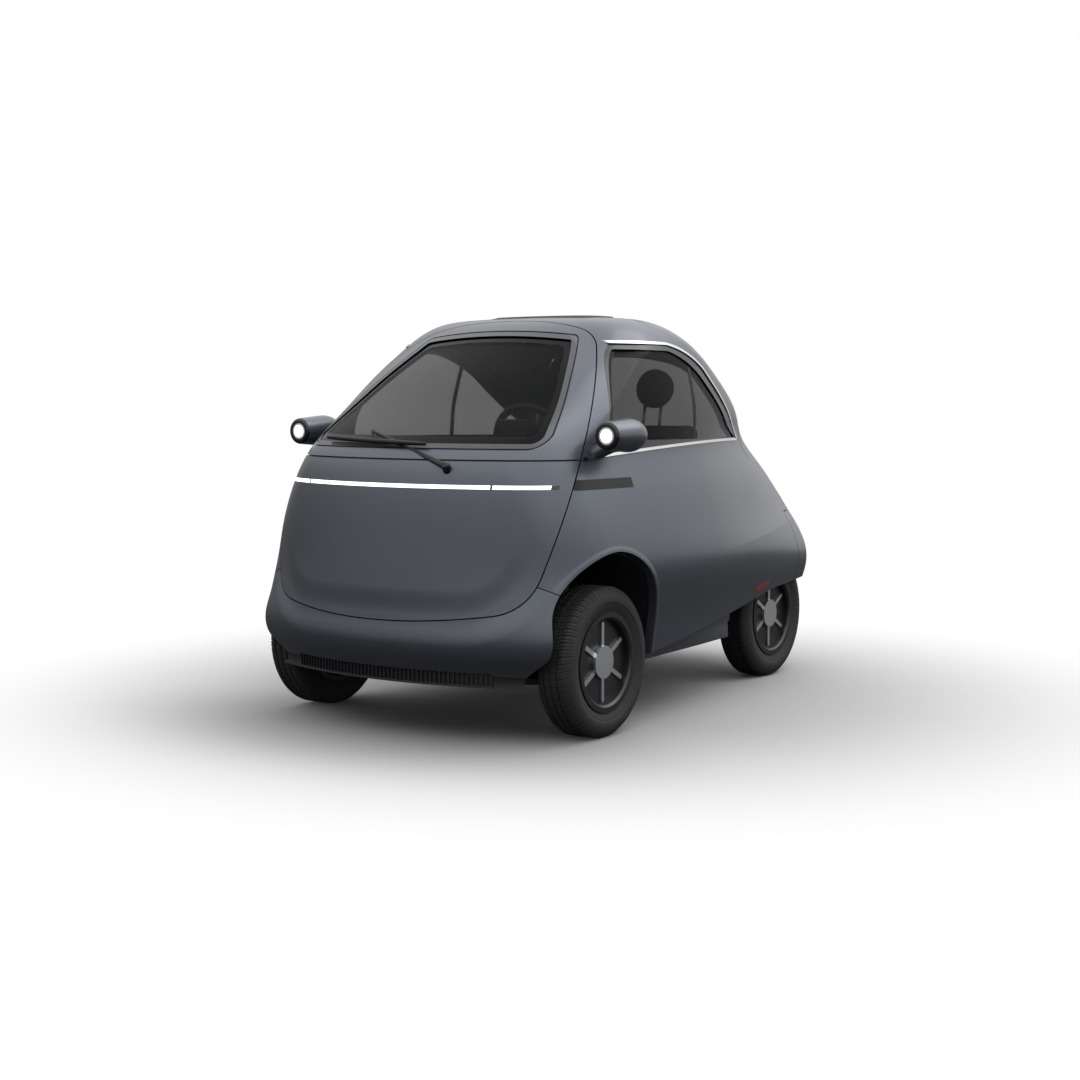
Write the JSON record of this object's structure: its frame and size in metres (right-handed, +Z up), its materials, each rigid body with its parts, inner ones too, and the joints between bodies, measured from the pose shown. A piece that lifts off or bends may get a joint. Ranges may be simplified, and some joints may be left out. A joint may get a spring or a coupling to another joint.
{
  "type": "microcar with a front-opening door",
  "caption": "Two-seat electric bubble car: the whole nose is one side-hinged door, with a narrow rear track, a tailgate, a steering wheel and steered front wheels.",
  "frame": {"origin": "on the ground at the middle of the footprint", "axes": "+X to the car's left, -Y to the front, +Z up"},
  "size_m": [1.5292, 2.5207, 1.4999],
  "materials": {
    "body_paint": "satin metallic slate blue-grey paint",
    "window_glass": "dark tinted",
    "light_strip": "milky lit strip",
    "lamp_lens": "clear",
    "mirror_glass": "mirror",
    "tail_lens": "red lens",
    "reflector": "amber",
    "interior_trim": "grained",
    "black_plastic": "satin",
    "gloss_black": "gloss",
    "bright_trim": "polished",
    "roof_fabric": "woven",
    "underbody": "coarse",
    "battery_case": "plain",
    "cast_housing": "cast",
    "chassis_steel": "black dip paint",
    "seat_cover": "woven grey",
    "tyre_rubber": "matte",
    "rim_paint": "satin black with bright spokes"
  },
  "bodies": {
    "front_door_body": {"front_door": "body_paint", "light_bar": "light_strip", "windshield": "window_glass", "door_lining": "interior_trim", "wiper": "black_plastic"},
    "body": {"lamp_pods": "body_paint", "lamp_lenses": "lamp_lens", "mirror_glasses": "mirror_glass", "body_shell": "body_paint", "front_bumper": "body_paint", "bumper_grille": "black_plastic", "rear_bumper": "body_paint", "roof_cover": "roof_fabric", "side_windows": "window_glass", "side_strips": "gloss_black", "side_reflectors": "reflector", "window_trims": "bright_trim", "floor_pan": "underbody", "load_floor": "interior_trim", "battery_block": "battery_case", "motor_block": "cast_housing", "rear_axle": "chassis_steel", "front_subframe": "chassis_steel", "lower_arms": "chassis_steel", "dampers": "chassis_steel", "seat_frame": "chassis_steel", "seat_cushion": "seat_cover", "seat_backrest": "seat_cover", "headrests": "seat_cover", "steering_column": "interior_trim", "pedals": "black_plastic"},
    "tailgate_body": {"tailgate": "body_paint", "tail_lamp": "tail_lens", "rear_window": "window_glass"},
    "steering_wheel_body": {"steering_wheel": "black_plastic"},
    "knuckle_left_body": {"knuckle_left": "cast_housing"},
    "knuckle_right_body": {"knuckle_right": "cast_housing"},
    "wheel_front_left": {"tyre_front_left": "tyre_rubber", "rim_front_left": "rim_paint"},
    "wheel_front_right": {"tyre_front_right": "tyre_rubber", "rim_front_right": "rim_paint"},
    "wheel_rear_left": {"tyre_rear_left": "tyre_rubber", "rim_rear_left": "rim_paint"},
    "wheel_rear_right": {"tyre_rear_right": "tyre_rubber", "rim_rear_right": "rim_paint"}
  },
  "joints": [
    {"name": "door_hinge", "type": "hinge", "parent": "body", "child": "front_door_body", "pos_m": [0.64, -1.075, 0.7], "axis": [0, 0, 1], "range_deg": [0, 80]},
    {"name": "tailgate_hinge", "type": "hinge", "parent": "body", "child": "tailgate_body", "pos_m": [0, 0.272, 1.432], "axis": [1, 0, 0], "range_deg": [0, 70]},
    {"name": "steering", "type": "hinge", "parent": "body", "child": "steering_wheel_body", "pos_m": [0.24, -0.6, 1], "axis": [0, 0.9063, 0.4226], "range_deg": [-270, 270]},
    {"name": "steer_left", "type": "hinge", "parent": "body", "child": "knuckle_left_body", "pos_m": [0.552, -0.79, 0.185], "axis": [-0.1881, 0, 0.9821], "range_deg": [-31, 31]},
    {"name": "steer_right", "type": "hinge", "parent": "body", "child": "knuckle_right_body", "pos_m": [-0.552, -0.79, 0.185], "axis": [0.1881, 0, 0.9821], "range_deg": [-31, 31]},
    {"name": "front_left_spin", "type": "hinge", "parent": "knuckle_left_body", "child": "wheel_front_left", "pos_m": [0.6155, -0.79, 0.2665], "axis": [1, 0, 0], "continuous": true},
    {"name": "front_right_spin", "type": "hinge", "parent": "knuckle_right_body", "child": "wheel_front_right", "pos_m": [-0.6155, -0.79, 0.2665], "axis": [1, 0, 0], "continuous": true},
    {"name": "rear_left_spin", "type": "hinge", "parent": "body", "child": "wheel_rear_left", "pos_m": [0.4525, 0.777, 0.2665], "axis": [1, 0, 0], "continuous": true},
    {"name": "rear_right_spin", "type": "hinge", "parent": "body", "child": "wheel_rear_right", "pos_m": [-0.4525, 0.777, 0.2665], "axis": [1, 0, 0], "continuous": true}
  ],
  "couplings": [
    {"joint": "steer_left", "follows": "steering", "ratio": 0.11111},
    {"joint": "steer_right", "follows": "steering", "ratio": 0.11111}
  ]
}
